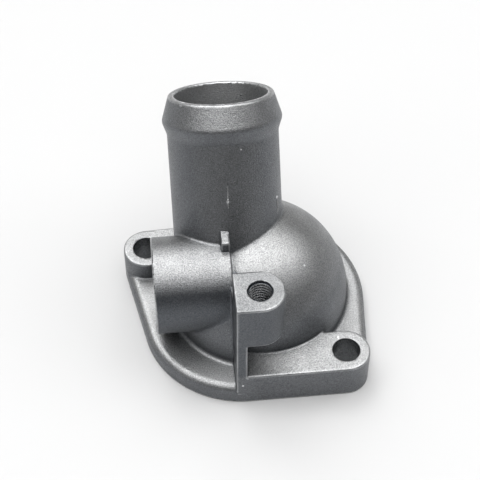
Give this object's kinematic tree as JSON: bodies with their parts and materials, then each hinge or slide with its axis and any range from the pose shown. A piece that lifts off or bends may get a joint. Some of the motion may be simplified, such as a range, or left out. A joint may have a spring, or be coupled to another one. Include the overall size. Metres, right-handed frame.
{
  "type": "thermostat housing",
  "caption": "Cast aluminium coolant outlet: bolted flange, domed valve chamber, leaning hose neck with a bead, sideways sensor stub and a tapped bracket boss on a rib.",
  "frame": {"origin": "axis of the dome and of the valve's seat, on the gasket face", "axes": "+Z away from the engine along the dome's axis, +X along the straight front edge of the flange, +Y towards the side that the hose neck leans to"},
  "size_m": [0.0814, 0.0871, 0.0803],
  "materials": {
    "cast_aluminium": "fine shot-blasted cast surface"
  },
  "bodies": {
    "root": {"housing": "cast_aluminium"}
  },
  "joints": []
}
